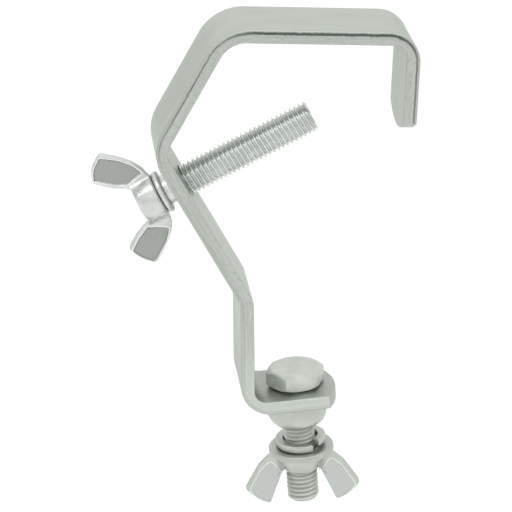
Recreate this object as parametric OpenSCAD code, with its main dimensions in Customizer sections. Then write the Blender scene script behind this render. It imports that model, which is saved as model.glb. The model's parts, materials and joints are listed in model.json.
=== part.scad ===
// Hook clamp for hanging stage equipment from a pipe.
// Millimetres. +Z runs up the fixing bolt, +X points to the hook's open side and
// Y runs along the pipe. The origin is on the bolt's axis, at the underside of the foot.

/* [Flat bar] */
// Width of the flat bar
bar_w = 25; // [22:1:30]
// Thickness of the flat bar
bar_t = 4.2; // [3.6:0.1:5]
// Radius of the bar's rounded ends, seen square to the bar
end_r = 21; // [18:1:30]
// Sideways shift of the foot's rounded end
foot_shift = 1.5; // [0:0.1:3]

/* [Hook outline, between outer corners] */
// From the bolt's axis to the tip of the foot
foot_tip = 12.2; // [11:0.1:16]
// From the bolt's axis back to the corner under the arm
foot_reach = 18.5; // [17.5:0.1:24]
// Length of the upright arm
arm_len = 38; // [34:0.5:50]
// Length of the arm that leans back and carries the clamp screw
low_len = 56; // [54:0.5:62]
// Length of the arm that leans forward above it
up_len = 43.8; // [40:0.2:50]
// Length of the top bar over the pipe
top_len = 59.5; // [54:0.5:66]
// Length of the lip, to its tip
lip_len = 32.4; // [28:0.2:38]

/* [Hook angles] */
// Forward lean of the upright arm
arm_lean = 3.5; // [0:0.1:6]
// Backward lean of the arm with the clamp screw
low_lean = 24.7; // [22:0.1:27]
// Forward lean of the arm above it
up_lean = 33.4; // [30:0.1:37]
// Fall of the top bar towards the lip
top_fall = 6.9; // [3:0.1:9]
// Inward tuck of the lip
lip_tuck = 6.2; // [2:0.1:8]

/* [Bend radii] */
// Foot bend, outside
foot_bend_out = 9.5; // [8:0.5:11]
// Foot bend, inside
foot_bend_in = 3.8; // [2:0.2:5]
// Bend between the upright arm and the arm with the screw, back face
knee_bend_back = 4; // [3:0.5:8]
// The same bend, front face
knee_bend_front = 10; // [6:0.5:14]
// Bend behind the pipe, outside
elbow_bend_out = 14; // [10:0.5:16]
// Bend behind the pipe, inside
elbow_bend_in = 1.5; // [1:0.1:4]
// Bend above the pipe, outside
shoulder_bend_out = 15; // [12:0.5:18]
// Bend above the pipe, inside
shoulder_bend_in = 8.5; // [6:0.5:12]
// Lip bend, outside
lip_bend_out = 9.8; // [7:0.2:12]
// Lip bend, inside
lip_bend_in = 2.5; // [1.5:0.1:5]

/* [Clamp screw] */
// Thread size of the clamp screw
screw_d = 10; // [9:0.5:10]
// Diameter of its plain neck
neck_d = 9; // [8:0.1:9.4]
// From the collar's front face to the screw's tip
screw_len = 49.5; // [46:0.5:54]
// From the knee's corner up the back face to the tapped hole
screw_up = 39.5; // [37:0.1:42]
// Rise of the screw's axis above the horizontal
screw_rise = 22.6; // [22:0.1:27]
// Gap between the collar and the back of the arm, as set
screw_gap = 2.6; // [2.4:0.1:6]
// Diameter of the collar ring
collar_d = 13.6; // [12:0.1:15]
// Thickness of the collar ring
collar_t = 2; // [1.5:0.1:3]

/* [Fixing bolt and its nuts] */
// Thread size of the fixing bolt
bolt_d = 10; // [9:0.5:10]
// Length of the fixing bolt under its head
bolt_len = 39.5; // [38:0.5:42]
// Width across the flats of the bolt head
head_size = 16.3; // [15.5:0.1:17]
// Width across the flats of the lock nut
nut_size = 17; // [16:0.5:17]
// Height of the bolt head, with its washer face
head_h = 5.8; // [5:0.1:6.5]
// Thickness of the round washer face under the head
face_t = 0.7; // [0.3:0.1:1]
// Height of the lock nut
lock_nut_h = 9.1; // [8:0.1:9.2]
// Turn of the bolt head and the lock nut about the bolt
hex_turn = 7.5; // [0:0.5:60]

/* [Washers] */
// Gap from the lock nut down to the flat washer, as set
yoke_gap = 7.8; // [7.6:0.1:8.8]
// Diameter of the flat washer
washer_d = 21.2; // [19:0.1:22]
// Thickness of the flat washer
washer_t = 2; // [1.5:0.1:2.2]
// Outside diameter of the split spring washer
spring_d = 16.4; // [15.5:0.1:18]
// Height of the spring washer's section
spring_h = 2.3; // [2:0.1:2.5]
// Rise of the spring washer from one end to the other
spring_rise = 1.2; // [0.8:0.1:3]

/* [Wings] */
// Reach of the wing tips from the middle of the hub's base
wing_reach = 21.8; // [20:0.1:24]
// Thickness of the wings
wing_t = 2.4; // [1.8:0.1:3]
// Height of the clamp screw's hub
screw_hub_h = 7.3; // [6:0.1:7.5]
// Height of the wing nut's hub
nut_hub_h = 5.8; // [5.4:0.1:6.4]
// Base diameter of the clamp screw's hub
screw_hub_d = 14; // [13.6:0.1:15]
// Base diameter of the wing nut's hub
nut_hub_d = 16.4; // [15:0.1:17]
// Outer diameter of both hubs
hub_end_d = 11.4; // [11:0.1:12]
// How much further the wing nut's wings are folded up than the screw's
nut_wing_lift = 5.5; // [0:0.5:8]
// Turn of the wing nut about the bolt
nut_turn = -6; // [-90:1:90]

/* [Hidden] */

$fn = 96;
bend_steps = 16;              // flats in each bend of the strap
wing_tip_steps = 8;           // flats in the round tip of each wing
end_cut = 7;                  // depth of the block that rounds the bar's ends
cut_extra = 1;                // how far a cutter runs past the face that it cuts
thread_gap = 0.05;            // radial room in a thread that turns
thread_pitch = 1.5;           // coarse pitch of a 10 mm thread
thread_mean = 0.65;           // depth from crest diameter to mean diameter, in pitches
slip_gap = 0.25;              // radial room of a washer, or of the bolt in the foot
seam = 0.1;                   // gap between faces that slide on each other
tip_chamfer = 0.8;            // chamfer on the threaded tips
nut_chamfer = 1.6;            // height of the lock nut's lower chamfer
head_chamfer = 1.0;           // height of the bolt head's upper chamfer
corner_room = 1.2;            // a circle past a hexagon's corners, as a share of its flats
hex_flat_share = 0.95;        // diameter of a hexagon's flat face, as a share of its flats
washer_face_share = 0.88;     // the same for the washer face under the head
spring_slot = 16;             // angle of the gap in the spring washer
spring_slot_at = -66;         // where that gap starts, from +X
spring_steps = 48;            // steps in the spring washer's turn
zinc = "#c9cec9";             // bright zinc plate
zinc_shade = "#b9bebb";       // the same, on the pressed pieces

// Directions of the bar's runs, as angles from +X towards +Z
foot_dir = 180;
arm_dir = 90 - arm_lean;
low_dir = 90 + low_lean;
up_dir = 90 - up_lean;
top_dir = -top_fall;
lip_dir = -90 - lip_tuck;

function ahead(a) = [cos(a), sin(a)];
function outward(a) = [-sin(a), cos(a)];
function turn_between(a, b) = (b - a + 540) % 360 - 180;
function backwards(v) = [for (i = [len(v) - 1 : -1 : 0]) v[i]];

// Outer corners of the bar, from the foot to the tip of the lip
foot_corner = [-foot_reach, 0];
knee_corner = foot_corner + arm_len * ahead(arm_dir);
elbow_corner = knee_corner + low_len * ahead(low_dir);
shoulder_corner = elbow_corner + up_len * ahead(up_dir);
lip_corner = shoulder_corner + top_len * ahead(top_dir);
lip_end = lip_corner + lip_len * ahead(lip_dir);

// One bend of a face that lies depth inside the bar's outer face: an arc of radius r
// between the directions a and b, at outer corner c
function bend(c, a, b, depth, r) =
    let (turn = turn_between(a, b),
         side = sign(turn),
         corner = c - depth * (outward(a) + outward(b)) / (1 + outward(a) * outward(b)),
         start = corner - ahead(a) * r * tan(abs(turn) / 2),
         centre = start + outward(a) * r * side)
    [for (k = [0 : bend_steps]) centre - outward(a + turn * k / bend_steps) * r * side];

// A whole face of the bar, from the foot to the lip
function face(depth, radii) = concat(
    [[foot_tip + cut_extra, depth]],
    bend(foot_corner, foot_dir, arm_dir, depth, radii[0]),
    bend(knee_corner, arm_dir, low_dir, depth, radii[1]),
    bend(elbow_corner, low_dir, up_dir, depth, radii[2]),
    bend(shoulder_corner, up_dir, top_dir, depth, radii[3]),
    bend(lip_corner, top_dir, lip_dir, depth, radii[4]),
    [lip_end - depth * outward(lip_dir) + cut_extra * ahead(lip_dir)]);

outer_radii = [foot_bend_out, knee_bend_back, elbow_bend_out, shoulder_bend_out, lip_bend_out];
inner_radii = [foot_bend_in, knee_bend_front, elbow_bend_in, shoulder_bend_in, lip_bend_in];

// Heights on the fixing bolt
washer_top = -lock_nut_h - yoke_gap;
wing_nut_top = washer_top - washer_t - seam;
wing_nut_end = wing_nut_top - nut_hub_h;
bolt_end = bar_t - bolt_len;
free_end_top = wing_nut_end - 1.5;     // where the bolt stands free of the wings' roots
mean_d = bolt_d - thread_mean * thread_pitch;
spring_r_in = bolt_d / 2 + slip_gap;

// Clamp screw: its own Z runs from the wing to the tip, from the arm's back face
screw_hole = knee_corner + screw_up * ahead(low_dir);
collar_front = -screw_gap;
collar_back = collar_front - collar_t;
screw_wing_base = collar_back - seam;
screw_tip = collar_front + screw_len;
neck_end = -0.6;              // where the screw's plain neck ends, just behind the arm
socket_floor = 1;             // metal left behind the screw's end in the wing hub

module on_screw_axis() {
    translate([screw_hole[0], 0, screw_hole[1]]) rotate([0, 90 - screw_rise, 0]) children();
}

// Plain round rod from z = low to z = high with a chamfer at the high end
module threaded_end(r, low, high) {
    translate([0, 0, low]) cylinder(r = r, h = high - low - tip_chamfer);
    translate([0, 0, high - tip_chamfer])
        cylinder(r1 = r, r2 = r - tip_chamfer, h = tip_chamfer);
}

// Hexagon with its upper corners turned off to a round flat
module hexagon(flats, h, chamfer) {
    intersection() {
        cylinder(d = flats / cos(30), h = h, $fn = 6);
        union() {
            cylinder(d = corner_room * flats, h = h - chamfer);
            translate([0, 0, h - chamfer])
                cylinder(d1 = flats * hex_flat_share + 2 * chamfer / tan(30),
                         d2 = flats * hex_flat_share, h = chamfer);
        }
    }
}

// Cuts the end of the bar to an arc: the end looks along +X, its tip is at the origin
module round_end_cutter() {
    difference() {
        translate([-end_cut, -bar_w, -cut_extra])
            cube([end_cut + 2 * cut_extra, 2 * bar_w, bar_t + 2 * cut_extra]);
        translate([-end_r, 0, -2 * cut_extra]) cylinder(r = end_r, h = bar_t + 4 * cut_extra);
    }
}

// Half outline of a wing piece: x is the distance from the axis, y the height above the base,
// hub_h the height of its hub and lift how far its wings are folded up
module wing_outline(hub_h, lift) {
    low_tip = 28.5 + lift;        // angle of the wing's outer corner above the base
    high_tip = 54 + lift / 2;     // angle of its inner corner
    shoulder = 10 + 1.6 * lift;   // angle of the outer edge's bend
    shoulder_r = 12.6;            // distance of that bend from the middle of the base
    root_r = 5.1;                 // the outline starts and ends inside the hub
    hub_edge = [screw_hub_d / 2, 0.4];
    outer_foot = [10, 1.3];       // the outer edge, just outside the hub
    inner_foot = [6.9, 8.2];      // the inner edge, just above the hub
    inner_swell = [8.7, 11.6];    // the inner edge, where it turns towards the tip
    polygon(concat(
        [[root_r, seam], hub_edge, outer_foot],
        [shoulder_r * [cos(shoulder), sin(shoulder)]],
        [for (k = [0 : wing_tip_steps])
            let (a = low_tip + (high_tip - low_tip) * k / wing_tip_steps)
            wing_reach * [cos(a), sin(a)]],
        [inner_swell, inner_foot, [root_r, hub_h]]));
}

// Hub and two wings, base at z = 0, wings towards +Z, without its bore
module wing_piece(hub_d, hub_h, lift) {
    cylinder(d1 = hub_d, d2 = hub_end_d, h = hub_h);
    for (side = [0, 1]) mirror([side, 0, 0])
        rotate([90, 0, 0]) linear_extrude(wing_t, center = true) wing_outline(hub_h, lift);
}

module hook_strap() {
    color(zinc) difference() {
        rotate([90, 0, 0]) linear_extrude(bar_w, center = true)
            polygon(concat(face(0, outer_radii), backwards(face(bar_t, inner_radii))));
        translate([foot_tip, -foot_shift, 0]) round_end_cutter();
        translate([lip_end[0], 0, lip_end[1]]) rotate([0, -lip_dir, 0])
            mirror([0, 0, 1]) round_end_cutter();
        translate([0, 0, -cut_extra])
            cylinder(d = bolt_d + 2 * slip_gap, h = bar_t + 2 * cut_extra);
        on_screw_axis() translate([0, 0, -2 * bar_t])
            cylinder(d = screw_d + 2 * thread_gap, h = 4 * bar_t);
    }
}

// Its free end has the full thread size; the stretch inside its nuts and washers has the
// thread's mean size, so that the wing nut has room to turn on it
module fixing_bolt() {
    color(zinc) {
        translate([0, 0, bar_t + face_t]) rotate([0, 0, hex_turn])
            hexagon(head_size, head_h - face_t, head_chamfer);
        translate([0, 0, bar_t]) cylinder(d = head_size * washer_face_share, h = face_t);
        translate([0, 0, free_end_top]) cylinder(d = mean_d, h = bar_t - free_end_top);
        mirror([0, 0, 1]) threaded_end(bolt_d / 2, -free_end_top, -bolt_end);
    }
}

module lock_nut() {
    color(zinc) difference() {
        mirror([0, 0, 1]) rotate([0, 0, -hex_turn]) hexagon(nut_size, lock_nut_h, nut_chamfer);
        translate([0, 0, -lock_nut_h - cut_extra])
            cylinder(d = mean_d, h = lock_nut_h + 2 * cut_extra);
    }
}

// One turn of square wire, rising from its low end to its high end
module spring_washer() {
    r_out = spring_d / 2;
    turn = 360 - spring_slot;
    section = [[spring_r_in, 0], [r_out, 0], [r_out, spring_h], [spring_r_in, spring_h]];
    points = [for (k = [0 : spring_steps], p = section)
        let (a = spring_slot_at - turn * k / spring_steps)
        [p[0] * cos(a), p[0] * sin(a), p[1] + spring_rise * k / spring_steps]];
    last = 4 * spring_steps;
    sides = [for (k = [0 : spring_steps - 1], j = [0 : 3]) let (next = (j + 1) % 4)
        [4 * k + j, 4 * k + next, 4 * k + 4 + next, 4 * k + 4 + j]];
    ends = [[3, 2, 1, 0], [last, last + 1, last + 2, last + 3]];
    color(zinc) translate([0, 0, washer_top + seam])
        polyhedron(points = points, faces = concat(sides, ends), convexity = 4);
}

module flat_washer() {
    color(zinc_shade) translate([0, 0, washer_top - washer_t]) difference() {
        cylinder(d = washer_d, h = washer_t);
        translate([0, 0, -cut_extra])
            cylinder(d = bolt_d + 2 * slip_gap, h = washer_t + 2 * cut_extra);
    }
}

module wing_nut() {
    color(zinc_shade) translate([0, 0, wing_nut_top]) rotate([0, 0, nut_turn])
        mirror([0, 0, 1]) difference() {
            wing_piece(nut_hub_d, nut_hub_h, nut_wing_lift);
            translate([0, 0, -cut_extra])
                cylinder(d = bolt_d + 2 * thread_gap, h = nut_hub_h + 3 * cut_extra);
        }
}

module screw_collar() {
    color(zinc_shade) on_screw_axis() translate([0, 0, collar_back]) difference() {
        cylinder(d = collar_d, h = collar_t);
        translate([0, 0, -cut_extra])
            cylinder(d = neck_d + 2 * thread_gap, h = collar_t + 2 * cut_extra);
    }
}

module clamp_screw() {
    start = screw_wing_base - screw_hub_h + socket_floor;
    color(zinc) on_screw_axis() {
        translate([0, 0, start]) cylinder(d = neck_d, h = neck_end - start);
        threaded_end(screw_d / 2, neck_end, screw_tip);
    }
}

module screw_wing() {
    color(zinc_shade) on_screw_axis() translate([0, 0, screw_wing_base])
        mirror([0, 0, 1]) difference() {
            wing_piece(screw_hub_d, screw_hub_h, 0);
            translate([0, 0, -cut_extra])
                cylinder(d = neck_d, h = screw_hub_h - socket_floor + cut_extra);
        }
}

hook_strap();
fixing_bolt();
lock_nut();
spring_washer();
flat_washer();
wing_nut();
screw_collar();
clamp_screw();
screw_wing();
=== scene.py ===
"""Looks of a hook clamp for stage pipe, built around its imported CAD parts.

Shapes are worked out in millimetres in each part's own frame, and add_piece() scales them to metres.
Every piece keeps to the space of the CAD node that it replaces.
"""

import json
import math

import bmesh
import bpy
import numpy as np
from mathutils import Matrix, Vector, noise
from mathutils.geometry import tessellate_polygon


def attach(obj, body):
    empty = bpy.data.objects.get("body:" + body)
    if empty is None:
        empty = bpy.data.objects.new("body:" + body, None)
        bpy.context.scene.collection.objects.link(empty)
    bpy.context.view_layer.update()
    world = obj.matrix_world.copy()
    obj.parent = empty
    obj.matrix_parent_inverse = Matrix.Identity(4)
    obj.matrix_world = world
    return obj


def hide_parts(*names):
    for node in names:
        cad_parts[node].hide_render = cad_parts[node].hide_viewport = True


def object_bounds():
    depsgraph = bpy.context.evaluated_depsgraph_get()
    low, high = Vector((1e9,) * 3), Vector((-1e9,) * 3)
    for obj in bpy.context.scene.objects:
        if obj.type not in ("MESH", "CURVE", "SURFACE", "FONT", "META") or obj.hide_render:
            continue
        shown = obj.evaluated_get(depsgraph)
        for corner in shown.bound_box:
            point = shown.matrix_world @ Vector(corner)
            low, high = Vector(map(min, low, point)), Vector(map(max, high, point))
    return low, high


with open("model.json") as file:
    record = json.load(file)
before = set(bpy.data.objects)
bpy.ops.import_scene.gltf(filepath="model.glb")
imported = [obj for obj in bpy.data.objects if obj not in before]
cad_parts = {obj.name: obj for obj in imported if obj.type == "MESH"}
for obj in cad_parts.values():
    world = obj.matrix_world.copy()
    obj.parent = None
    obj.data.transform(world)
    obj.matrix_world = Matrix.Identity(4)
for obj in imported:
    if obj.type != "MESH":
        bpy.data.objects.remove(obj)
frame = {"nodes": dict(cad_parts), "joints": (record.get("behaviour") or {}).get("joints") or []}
cad_low, cad_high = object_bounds()

MM = 0.001

# ------------------------ sizes, in millimetres

# The flat bar and its rounded ends
BAR_W, BAR_T = 25.0, 4.2
END_R = 21.0
FOOT_SHIFT = 1.5                    # the foot's rounded end leans this far to the near side
FOOT_TIP, FOOT_REACH = 12.2, 18.5   # from the bolt's axis to the foot's tip, and back to the outer corner
FOOT_DIR = 180.0                    # the foot runs this way from its tip, in degrees from +X towards +Z
# Runs of the bar after the foot: direction in degrees, and length to the next outer corner
RUNS = [(86.5, 38.0), (114.7, 56.0), (56.6, 43.8), (-6.9, 59.5), (-96.2, 32.4)]
# Bend radii before each run: on the outer face and on the inner face
BENDS = [(9.5, 3.8), (4.0, 10.0), (14.0, 1.5), (15.0, 8.5), (9.8, 2.5)]

# The bar's long edges: rounding of the outer face's edge, across and deep, and of the inner face's
EDGE_OUT, EDGE_OUT_DEEP, EDGE_IN = 0.42, 0.75, 0.38
LEAST_EDGE = 0.04                   # no edge is sharper than this
END_ROUND = 0.45                    # rounding of the edges at both ends
SIDE_DRAWN_IN, SIDE_WOBBLE = 0.035, 0.045
# The score along the sheared sides: depth of its middle, width, depth of its groove low down and higher up
SCORE_AT, SCORE_WIDE, SCORE_FAINT, SCORE_DEEP = 1.02, 0.42, 0.03, 0.16
SCORE_FROM, SCORE_GROWS = 0.42, 0.08    # it deepens from here, over this much, as shares of the bent length
RUN_STEP = 1.1                      # about this far between the mesh's rings along the bar
WIDE_STEPS, DEEP_STEPS = 18, 9      # steps across a face and down a side

# Threads, holes and hexagons
PITCH = 1.5
THREAD_R = 4.96
THREAD_DEPTH = 0.90
TAPPED_R, TAPPED_SINK_R = 5.03, 6.2
HOLE_R = 5.25                       # hole in the foot
WASHER_BORE_R = HOLE_R + 0.2
FLATS, HEAD_FLATS = 17.0, 16.3      # lock nut and bolt head, across flats
HEX_TURN = 7.5                      # both are turned by this, in degrees
NECK_R, NECK_END = 4.70, 0.7        # plain neck of the clamp screw, and where it ends in the arm

# The loose washers
WASHER_OFF = 0.35                   # they hang this far off centre
WASHER_SHIFT = Matrix.Translation((WASHER_OFF, 0, 0))
SPRING_START, SPRING_TURN = -66.0, 344.0
SPRING_RISE, SPRING_H, SPRING_R = 1.2, 2.3, 8.2

# Edges that bend by more than this many degrees are shaded as hard edges
SHARP, STRAP_SHARP = 32.0, 34.0

# The wings
NUT_TURN = -6.0                     # the wing nut is turned by this, in degrees
NUT_REACH = 21.9                    # from the wing nut's axis and face to the tip of a wing
VOXEL = 0.2                         # grid on which hub and wings are joined
SOFTEN = {"screw_wing_plated": 7, "wing_nut_plated": 4}     # smoothing passes

# ------------------------ frame of the clamp screw, spans of nodes


def joint(name):
    return next(j for j in frame["joints"] if j["name"] == name)


SCREW_AT = Vector(joint("screw_turn")["pos_m"]) / MM
SCREW_DIR = Vector(joint("screw_turn")["axis"]).normalized()
ALONG_PIPE = Vector((0, 1, 0))


def axis_matrix(origin, z_axis, x_axis):
    """Matrix from a part's own frame, in millimetres, to the shared frame in millimetres."""
    z = z_axis.normalized()
    y = z.cross(x_axis).normalized()
    x = y.cross(z)
    return Matrix.Translation(origin) @ Matrix((x, y, z)).transposed().to_4x4()


def span(node, at, direction):
    """Where a CAD node begins and ends along an axis, and its largest distance from it, in millimetres."""
    points = [v.co / MM - at for v in frame["nodes"][node].data.vertices]
    along = [p.dot(direction) for p in points]
    radii = [(p - p.dot(direction) * direction).length for p in points]
    return min(along), max(along), max(radii)


# ------------------------ making meshes


def add_piece(name, verts, faces, body, nodes, slot, material, place=None):
    """A mesh piece from points in millimetres, riding on a body and standing for its CAD nodes."""
    mesh = bpy.data.meshes.new(name)
    mesh.from_pydata([tuple(v) for v in verts], [], [list(f) for f in faces])
    mesh.transform(Matrix.Scale(MM, 4) @ (place or Matrix.Identity(4)))
    tidy_mesh(mesh, SHARP)
    piece = bpy.data.objects.new(name, mesh)
    bpy.context.scene.collection.objects.link(piece)
    mesh.materials.append(material)
    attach(piece, body)
    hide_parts(*nodes)
    return piece


def tidy_mesh(mesh, sharp):
    """Joins points that lie together, turns all faces outwards and shades the mesh smooth."""
    bm = bmesh.new()
    bm.from_mesh(mesh)
    bmesh.ops.remove_doubles(bm, verts=bm.verts, dist=2e-6)
    bmesh.ops.recalc_face_normals(bm, faces=bm.faces)
    bm.to_mesh(mesh)
    bm.free()
    mesh.polygons.foreach_set("use_smooth", [True] * len(mesh.polygons))
    mesh.set_sharp_from_angle(angle=math.radians(sharp))


def apply_modifiers(piece):
    graph = bpy.context.evaluated_depsgraph_get()
    mesh = bpy.data.meshes.new_from_object(piece.evaluated_get(graph))
    piece.modifiers.clear()
    piece.data = mesh


def scratch(name, verts, faces, place=None):
    """An object for building with, in metres, which isn't kept."""
    mesh = bpy.data.meshes.new(name)
    mesh.from_pydata([tuple(v) for v in verts], [], [list(f) for f in faces])
    mesh.transform(Matrix.Scale(MM, 4) @ (place or Matrix.Identity(4)))
    bm = bmesh.new()
    bm.from_mesh(mesh)
    bmesh.ops.recalc_face_normals(bm, faces=bm.faces)
    bm.to_mesh(mesh)
    bm.free()
    piece = bpy.data.objects.new(name, mesh)
    bpy.context.scene.collection.objects.link(piece)
    return piece


def cut(piece, *cutters):
    """Cuts shapes out of a piece and throws the cutters away."""
    for cutter in cutters:
        step = piece.modifiers.new("cut", "BOOLEAN")
        step.operation = "DIFFERENCE"
        step.solver = "EXACT"
        step.object = cutter
    bpy.context.view_layer.update()
    apply_modifiers(piece)
    for cutter in cutters:
        bpy.data.objects.remove(cutter)


def lathe(angles, rings, closed=False):
    """Rings round Z. Each ring is (radius, height), or a function of the angle that gives them. A closed
    set of rings goes round a bore; an open one is capped at both ends."""
    verts, faces = [], []
    n = len(angles)
    for ring in rings:
        for a in angles:
            r, z = ring(a) if callable(ring) else ring
            verts.append((r * math.cos(a), r * math.sin(a), z))
    count = len(rings)
    for i in range(count if closed else count - 1):
        for j in range(n):
            a, b = i * n + j, i * n + (j + 1) % n
            c, d = (i + 1) % count * n + (j + 1) % n, (i + 1) % count * n + j
            faces.append((a, b, c, d))
    if not closed:
        faces.append(tuple(range(n))[::-1])
        faces.append(tuple(range((count - 1) * n, count * n)))
    return verts, faces


def even_angles(n):
    return [2 * math.pi * k / n for k in range(n)]


def join_parts(*parts):
    verts, faces = [], []
    for v, f in parts:
        start = len(verts)
        verts += list(v)
        faces += [tuple(i + start for i in face) for face in f]
    return verts, faces


# ------------------------ threads


def thread_rod(low, high, tip_chamfer, neck=None, steps=56, low_chamfer=0.0):
    """A rod with a right-hand thread from z = low to z = high. neck is (radius, length) of a plain
    stretch at its low end."""
    crest_waver = 0.012
    # One pitch of a rolled thread: position along the axis in pitches, and share of the thread's depth
    profile = [(0.0, 0.0), (0.045, 0.01), (0.08, 0.05), (0.24, 0.47), (0.40, 0.92),
               (0.45, 0.99), (0.50, 1.0), (0.55, 0.99), (0.60, 0.92), (0.76, 0.47), (0.92, 0.05),
               (0.955, 0.01)]
    turns = int((high - low) / PITCH) + 4
    first = low - 2 * PITCH
    verts, faces = [], []
    columns = len(profile)
    rows = turns * steps + 1
    for i in range(rows):
        a = 2 * math.pi * i / steps
        for share, fall in profile + [(1.0, 0.0)]:
            z = first + PITCH * (i / steps + share)
            waver = noise.noise(Vector((math.cos(a) * 4, math.sin(a) * 4, z * 1.7)))
            r = THREAD_R + crest_waver * waver - THREAD_DEPTH * fall
            r = min(r, THREAD_R - tip_chamfer + max(0.0, high - z))
            if low_chamfer:
                r = min(r, THREAD_R - low_chamfer + max(0.0, z - low))
            if neck and z < low + neck[1]:
                r = neck[0]
            elif neck and z < low + neck[1] + 1:
                r = min(r, neck[0] + (z - low - neck[1]))
            verts.append((r * math.cos(a), r * math.sin(a), z))
    width = columns + 1
    for i in range(rows - 1):
        for j in range(columns):
            a = i * width + j
            faces.append((a, a + width, a + width + 1, a + 1))
    bm = bmesh.new()
    mesh = bpy.data.meshes.new("rod")
    mesh.from_pydata(verts, [], faces)
    bm.from_mesh(mesh)
    bpy.data.meshes.remove(mesh)
    bmesh.ops.remove_doubles(bm, verts=bm.verts, dist=1e-4)
    for z, side in ((low, -1), (high, 1)):
        everything = bm.verts[:] + bm.edges[:] + bm.faces[:]
        bmesh.ops.bisect_plane(bm, geom=everything, dist=1e-5, plane_co=(0, 0, z),
                               plane_no=(0, 0, side), clear_outer=True)
        rim = [e for e in bm.edges if e.is_boundary and all(abs(v.co.z - z) < 1e-3 for v in e.verts)]
        bmesh.ops.contextual_create(bm, geom=rim)
    bmesh.ops.recalc_face_normals(bm, faces=bm.faces)
    made = [tuple(v.co) for v in bm.verts], [tuple(v.index for v in f.verts) for f in bm.faces]
    bm.free()
    return made


# ------------------------ the strap


def ahead(a):
    """The direction at an angle from +X towards +Z, as (x, z)."""
    return np.array([math.cos(math.radians(a)), math.sin(math.radians(a))])


def outward(a):
    """The direction a quarter turn on from ahead(a), from the inner face to the outer one."""
    return np.array([-math.sin(math.radians(a)), math.cos(math.radians(a))])


def bend_points(corner, a, b, depth, r, steps):
    """One bend of the face that lies depth inside the outer face."""
    turn = (b - a + 540) % 360 - 180
    side = math.copysign(1, turn)
    inner = corner - depth * (outward(a) + outward(b)) / (1 + outward(a) @ outward(b))
    start = inner - ahead(a) * r * math.tan(math.radians(abs(turn) / 2))
    centre = start + outward(a) * r * side
    return [centre - outward(a + turn * k / steps) * r * side for k in range(steps + 1)]


def bar_faces():
    """Matching points of the outer and the inner face, from the foot's bend to the lip's bend, and where
    the lip's outer face ends."""
    corner = np.array([-FOOT_REACH, 0.0])
    directions = [FOOT_DIR] + [a for a, _ in RUNS]
    outer, inner = [], []
    for k, (r_out, r_in) in enumerate(BENDS):
        a, b = directions[k], directions[k + 1]
        steps = max(6, int(abs((b - a + 540) % 360 - 180) / 4))
        out_arc = bend_points(corner, a, b, 0.0, r_out, steps)
        in_arc = bend_points(corner, a, b, BAR_T, r_in, steps)
        if outer:
            gap = int(np.linalg.norm(out_arc[0] - outer[-1]) / RUN_STEP)
            for i in range(1, gap):
                t = i / gap
                outer.append(outer_end * (1 - t) + out_arc[0] * t)
                inner.append(inner_end * (1 - t) + in_arc[0] * t)
        outer += out_arc
        inner += in_arc
        outer_end, inner_end = outer[-1], inner[-1]
        corner = corner + ahead(b) * RUNS[k][1]
    return outer, inner, corner


def bar_section(inset, score, wobble):
    """The bar's section as (y, depth) points: a rounded rectangle, drawn in by inset, with a shallow
    score along both sheared sides, left out near the ends. wobble(side, depth) moves those sides."""
    half = BAR_W / 2 - inset
    low, high = inset, BAR_T - inset
    ro, rd, ri = (max(LEAST_EDGE, e - inset) for e in (EDGE_OUT, EDGE_OUT_DEEP, EDGE_IN))
    edge_angles = [math.pi / 2 * k / 5 for k in range(1, 5)]

    def side(sign):
        made = [(half - ro + ro * math.sin(a), low + rd - rd * math.cos(a)) for a in edge_angles]
        depths = [low + rd + (high - ri - low - rd) * k / DEEP_STEPS for k in range(DEEP_STEPS + 1)]
        depths += [SCORE_AT - SCORE_WIDE / 2, SCORE_AT, SCORE_AT + SCORE_WIDE / 2]
        for d in sorted(min(max(d, low + rd), high - ri) for d in depths):
            dip = score * max(0.0, 1 - abs(d - SCORE_AT) / (SCORE_WIDE / 2)) if inset < 0.1 else 0.0
            made.append((half - dip, d))
        made += [(half - ri + ri * math.cos(a), high - ri + ri * math.sin(a)) for a in edge_angles]
        return [(sign * (y + min(0.0, wobble(sign, d))), d) for y, d in made]

    flat_out = half - ro
    flat_in = half - ri
    points = [(-flat_out + 2 * flat_out * k / WIDE_STEPS, low) for k in range(WIDE_STEPS + 1)]
    points += side(1)
    points += [(flat_in - 2 * flat_in * k / WIDE_STEPS, high) for k in range(WIDE_STEPS + 1)]
    points += side(-1)[::-1]
    return points


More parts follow.
